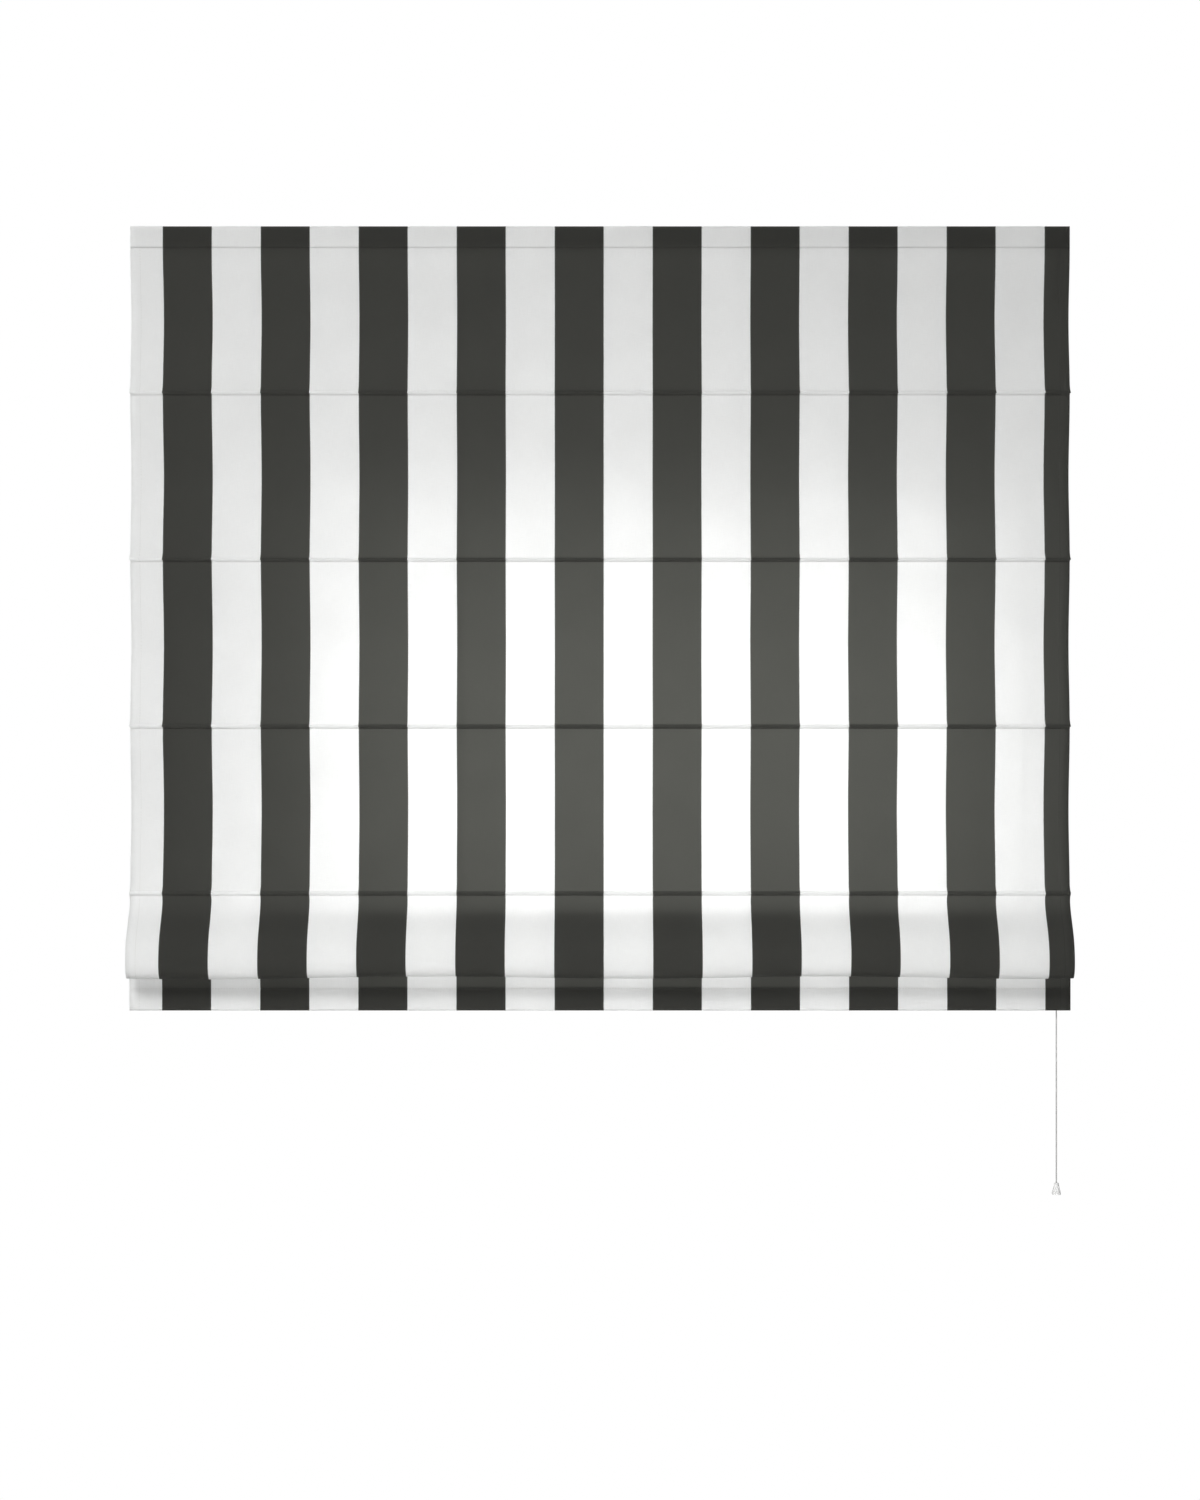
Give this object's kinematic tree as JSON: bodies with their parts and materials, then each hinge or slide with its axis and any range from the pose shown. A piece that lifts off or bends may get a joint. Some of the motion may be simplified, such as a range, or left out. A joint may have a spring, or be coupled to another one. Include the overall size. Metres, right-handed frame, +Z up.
{
  "type": "roman blind",
  "caption": "Corded roman blind: striped cloth on a wall-fixed headrail, with rods, lift rings, cord lock, pull cord and tassel, its lowest panel drawn up into a soft fold.",
  "frame": {"origin": "middle of the two screw holes of the middle wall bracket, on the wall's surface", "axes": "+X to the right as seen from the room, +Y into the wall, +Z up"},
  "size_m": [1.4, 0.0768, 1.4452],
  "materials": {
    "cloth": "plain weave in white and black stripes",
    "rail_paint": "satin white paint",
    "white_plastic": "moulded",
    "tape": "woven tape",
    "bracket_steel": "zinc plated",
    "pin_steel": "bright",
    "brass": "turned",
    "rod": "glass-fibre rod",
    "ring": "clear moulded",
    "bar": "mill",
    "cord": "braided",
    "tassel": "milky moulded"
  },
  "bodies": {
    "rail": {"cloth": "cloth", "headrail": "rail_paint", "end_cap_left": "white_plastic", "end_cap_right": "white_plastic", "hook_tape": "tape", "loop_tape": "tape", "wall_bracket_left": "bracket_steel", "wall_bracket_middle": "bracket_steel", "wall_bracket_right": "bracket_steel", "cord_guide_1": "white_plastic", "cord_guide_2": "white_plastic", "cord_guide_3": "white_plastic", "cord_guide_4": "white_plastic", "guide_pins": "pin_steel", "cord_lock_body": "white_plastic", "lock_pins": "pin_steel", "lift_cord_1": "cord", "lift_cord_2": "cord", "lift_cord_3": "cord", "lift_cord_4": "cord"},
    "row_1": {"rod_1": "rod", "rod_sleeve_1": "tape", "rings_1": "ring"},
    "row_2": {"rod_2": "rod", "rod_sleeve_2": "tape", "rings_2": "ring"},
    "row_3": {"rod_3": "rod", "rod_sleeve_3": "tape", "rings_3": "ring"},
    "row_4": {"rod_4": "rod", "rod_sleeve_4": "tape", "rings_4": "ring"},
    "bottom": {"rod_5": "rod", "rod_sleeve_5": "tape", "rings_5": "ring", "bottom_bar": "bar", "cord_adjusters": "white_plastic"},
    "pull": {"cord_joiner": "white_plastic", "pull_cord": "cord", "tassel": "tassel", "tassel_knot": "cord"},
    "pulley_1": {"guide_pulley_1": "brass"},
    "pulley_2": {"guide_pulley_2": "brass"},
    "pulley_3": {"guide_pulley_3": "brass"},
    "pulley_4": {"guide_pulley_4": "brass"},
    "roller": {"lock_roller": "brass"},
    "pawl": {"lock_pawl": "brass"}
  },
  "joints": [
    {"name": "lift", "type": "slide", "parent": "rail", "child": "row_4", "axis": [0, 0, 1], "range_m": [0, 0.91], "deforming": ["cloth", "lift_cord_1", "lift_cord_2", "lift_cord_3", "lift_cord_4"]},
    {"name": "row_1_lift", "type": "slide", "parent": "rail", "child": "row_1", "axis": [0, 0, 1], "range_m": [0, 0.205]},
    {"name": "row_2_lift", "type": "slide", "parent": "rail", "child": "row_2", "axis": [0, 0, 1], "range_m": [0, 0.44]},
    {"name": "row_3_lift", "type": "slide", "parent": "rail", "child": "row_3", "axis": [0, 0, 1], "range_m": [0, 0.675]},
    {"name": "bottom_drop", "type": "slide", "parent": "row_4", "child": "bottom", "axis": [0, 0, 1], "range_m": [-0.2185, 0.015]},
    {"name": "pull_drop", "type": "slide", "parent": "rail", "child": "pull", "axis": [0, 0, 1], "range_m": [-0.91, 0]},
    {"name": "pulley_1_spin", "type": "hinge", "parent": "rail", "child": "pulley_1", "pos_m": [-0.625, -0.02425, -0.0057], "axis": [0, 1, 0], "continuous": true},
    {"name": "pulley_2_spin", "type": "hinge", "parent": "rail", "child": "pulley_2", "pos_m": [-0.205, -0.01975, -0.0057], "axis": [0, 1, 0], "continuous": true},
    {"name": "pulley_3_spin", "type": "hinge", "parent": "rail", "child": "pulley_3", "pos_m": [0.215, -0.01525, -0.0057], "axis": [0, 1, 0], "continuous": true},
    {"name": "pulley_4_spin", "type": "hinge", "parent": "rail", "child": "pulley_4", "pos_m": [0.635, -0.01075, -0.0057], "axis": [0, 1, 0], "continuous": true},
    {"name": "roller_spin", "type": "hinge", "parent": "rail", "child": "roller", "pos_m": [0.678, -0.0175, -0.0057], "axis": [0, 1, 0], "continuous": true},
    {"name": "pawl_swing", "type": "hinge", "parent": "rail", "child": "pawl", "pos_m": [0.662, -0.0175, 0.0063], "axis": [0, -1, 0], "range_deg": [0, 20]}
  ],
  "couplings": [
    {"joint": "row_1_lift", "follows": "lift", "ratio": 0.22527},
    {"joint": "row_2_lift", "follows": "lift", "ratio": 0.48352},
    {"joint": "row_3_lift", "follows": "lift", "ratio": 0.74176},
    {"joint": "pull_drop", "follows": "lift", "ratio": -1},
    {"joint": "pulley_1_spin", "follows": "lift", "rad_per_m": 200},
    {"joint": "pulley_2_spin", "follows": "lift", "rad_per_m": 200},
    {"joint": "pulley_3_spin", "follows": "lift", "rad_per_m": 200},
    {"joint": "pulley_4_spin", "follows": "lift", "rad_per_m": 200},
    {"joint": "roller_spin", "follows": "lift", "rad_per_m": 200}
  ]
}
